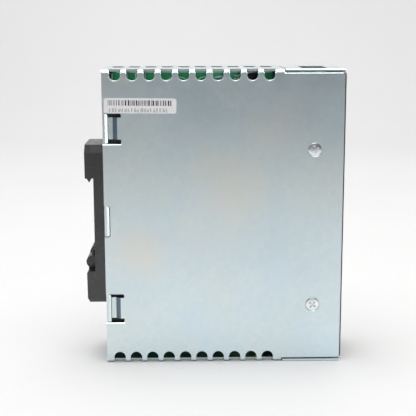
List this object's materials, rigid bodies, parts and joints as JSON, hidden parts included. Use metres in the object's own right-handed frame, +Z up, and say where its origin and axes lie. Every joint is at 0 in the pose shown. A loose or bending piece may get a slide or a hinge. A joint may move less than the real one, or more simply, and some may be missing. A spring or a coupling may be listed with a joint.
{
  "type": "din rail power supply",
  "caption": "Slim sheet-metal switching power supply with vented cover, screw terminals and a sprung clip that snaps onto a 35 mm rail.",
  "frame": {"origin": "centre of the whole object's box in X and Y, at the case's foot in Z", "axes": "+Z up, +Y to the rear where the rail clip is, -Y to the front with the terminals, -X to the vented cover sheet's side"},
  "size_m": [0.0322, 0.1094, 0.1252],
  "materials": {
    "zinc_sheet": "zinc plated sheet with a faint spangle, satin",
    "front_film": "dark grey printed film, fine texture",
    "plated_screw": "bright zinc plated",
    "sticker_white": "white coated paper",
    "sticker_silver": "pale silver polyester",
    "insulation": "milky insulating film",
    "clip_plastic": "black moulded nylon, fine grain",
    "latch_plastic": "black moulded nylon",
    "spring_wire": "drawn spring wire",
    "terminal_plastic": "dark green moulded nylon",
    "tinned_copper": "tin plated",
    "board_green": "green solder mask",
    "fuse_ceramic": "ceramic tube with plated caps",
    "varistor_blue": "dipped epoxy",
    "thermistor_black": "dipped silicone",
    "film_capacitor_yellow": "moulded case",
    "disc_blue": "dipped epoxy",
    "ferrite": "sintered ferrite",
    "copper_wire": "enamelled copper wire",
    "black_epoxy": "moulded epoxy",
    "capacitor_sleeve_dark": "shrink sleeve",
    "heatsink_aluminium": "bare plate",
    "bobbin_black": "moulded phenolic",
    "winding_tape": "polyester tape",
    "clamp_screw": "zinc plated",
    "cage_steel": "plated steel",
    "trimmer_blue": "moulded",
    "trimmer_white": "moulded",
    "lamp_green": "clear tinted lens"
  },
  "bodies": {
    "case": {"side_cover": "zinc_sheet", "chassis": "zinc_sheet", "front_film": "front_film", "side_screws": "plated_screw", "serial_sticker": "sticker_white", "rating_sticker": "sticker_silver", "insulating_sheet": "insulation", "rail_clip": "clip_plastic", "latch_spring": "spring_wire", "clip_screws": "plated_screw", "output_terminal_housing": "terminal_plastic", "output_contact_bars": "tinned_copper", "input_terminal_housing": "terminal_plastic", "input_contact_bars": "tinned_copper", "output_board": "board_green", "input_board": "board_green", "main_board": "board_green", "board_spacers": "plated_screw", "board_screws": "plated_screw", "board_links": "tinned_copper", "fuse": "fuse_ceramic", "surge_varistor": "varistor_blue", "inrush_thermistor": "thermistor_black", "x_capacitor": "film_capacitor_yellow", "y_capacitors": "disc_blue", "filter_choke_core": "ferrite", "filter_choke_windings": "copper_wire", "bridge_rectifier": "black_epoxy", "bulk_capacitor": "capacitor_sleeve_dark", "input_heatsink": "heatsink_aluminium", "switch_transistor": "black_epoxy", "transformer_core": "ferrite", "transformer_bobbin": "bobbin_black", "transformer_winding": "winding_tape", "output_heatsink": "heatsink_aluminium", "output_diode": "black_epoxy", "output_capacitors": "capacitor_sleeve_dark", "output_choke": "ferrite", "optocouplers": "black_epoxy", "control_chip": "black_epoxy", "trimmer_body": "trimmer_blue", "status_lamp": "lamp_green"},
    "output_screw_1": {"output_screw_1": "clamp_screw"},
    "output_cage_1": {"output_cage_1": "cage_steel"},
    "output_screw_2": {"output_screw_2": "clamp_screw"},
    "output_cage_2": {"output_cage_2": "cage_steel"},
    "output_screw_3": {"output_screw_3": "clamp_screw"},
    "output_cage_3": {"output_cage_3": "cage_steel"},
    "output_screw_4": {"output_screw_4": "clamp_screw"},
    "output_cage_4": {"output_cage_4": "cage_steel"},
    "input_screw_1": {"input_screw_1": "clamp_screw"},
    "input_cage_1": {"input_cage_1": "cage_steel"},
    "input_screw_2": {"input_screw_2": "clamp_screw"},
    "input_cage_2": {"input_cage_2": "cage_steel"},
    "input_screw_3": {"input_screw_3": "clamp_screw"},
    "input_cage_3": {"input_cage_3": "cage_steel"},
    "rail_latch": {"rail_latch": "latch_plastic"},
    "trimmer_rotor": {"trimmer_rotor": "trimmer_white"}
  },
  "joints": [
    {"name": "output_screw_1_turn", "type": "hinge", "parent": "case", "child": "output_screw_1", "pos_m": [-0.0076, -0.05025, 0.1157], "axis": [0, 1, 0], "range_deg": [0, 1802]},
    {"name": "output_cage_1_lift", "type": "slide", "parent": "case", "child": "output_cage_1", "axis": [0, -1, 0], "range_m": [0, 0.0025]},
    {"name": "output_screw_2_turn", "type": "hinge", "parent": "case", "child": "output_screw_2", "pos_m": [-0.0026, -0.05025, 0.1157], "axis": [0, 1, 0], "range_deg": [0, 1802]},
    {"name": "output_cage_2_lift", "type": "slide", "parent": "case", "child": "output_cage_2", "axis": [0, -1, 0], "range_m": [0, 0.0025]},
    {"name": "output_screw_3_turn", "type": "hinge", "parent": "case", "child": "output_screw_3", "pos_m": [0.0024, -0.05025, 0.1157], "axis": [0, 1, 0], "range_deg": [0, 1802]},
    {"name": "output_cage_3_lift", "type": "slide", "parent": "case", "child": "output_cage_3", "axis": [0, -1, 0], "range_m": [0, 0.0025]},
    {"name": "output_screw_4_turn", "type": "hinge", "parent": "case", "child": "output_screw_4", "pos_m": [0.0074, -0.05025, 0.1157], "axis": [0, 1, 0], "range_deg": [0, 1802]},
    {"name": "output_cage_4_lift", "type": "slide", "parent": "case", "child": "output_cage_4", "axis": [0, -1, 0], "range_m": [0, 0.0025]},
    {"name": "input_screw_1_turn", "type": "hinge", "parent": "case", "child": "input_screw_1", "pos_m": [-0.0067, -0.05025, 0.0095], "axis": [0, 1, 0], "range_deg": [0, 1802]},
    {"name": "input_cage_1_lift", "type": "slide", "parent": "case", "child": "input_cage_1", "axis": [0, -1, 0], "range_m": [0, 0.0025]},
    {"name": "input_screw_2_turn", "type": "hinge", "parent": "case", "child": "input_screw_2", "pos_m": [-0.0001, -0.05025, 0.0095], "axis": [0, 1, 0], "range_deg": [0, 1802]},
    {"name": "input_cage_2_lift", "type": "slide", "parent": "case", "child": "input_cage_2", "axis": [0, -1, 0], "range_m": [0, 0.0025]},
    {"name": "input_screw_3_turn", "type": "hinge", "parent": "case", "child": "input_screw_3", "pos_m": [0.0065, -0.05025, 0.0095], "axis": [0, 1, 0], "range_deg": [0, 1802]},
    {"name": "input_cage_3_lift", "type": "slide", "parent": "case", "child": "input_cage_3", "axis": [0, -1, 0], "range_m": [0, 0.0025]},
    {"name": "rail_latch_slide", "type": "slide", "parent": "case", "child": "rail_latch", "axis": [0, 0, -1], "range_m": [0, 0.005], "stiffness_N_per_m": 800, "springref_m": -0.004, "deforming": ["latch_spring"]},
    {"name": "trimmer_turn", "type": "hinge", "parent": "case", "child": "trimmer_rotor", "pos_m": [0.0025, -0.04925, 0.096], "axis": [0, 1, 0], "range_deg": [-135, 135]}
  ],
  "couplings": [
    {"joint": "output_screw_1_turn", "follows": "output_cage_1_lift", "rad_per_m": 12566},
    {"joint": "output_screw_2_turn", "follows": "output_cage_2_lift", "rad_per_m": 12566},
    {"joint": "output_screw_3_turn", "follows": "output_cage_3_lift", "rad_per_m": 12566},
    {"joint": "output_screw_4_turn", "follows": "output_cage_4_lift", "rad_per_m": 12566},
    {"joint": "input_screw_1_turn", "follows": "input_cage_1_lift", "rad_per_m": 12566},
    {"joint": "input_screw_2_turn", "follows": "input_cage_2_lift", "rad_per_m": 12566},
    {"joint": "input_screw_3_turn", "follows": "input_cage_3_lift", "rad_per_m": 12566}
  ]
}
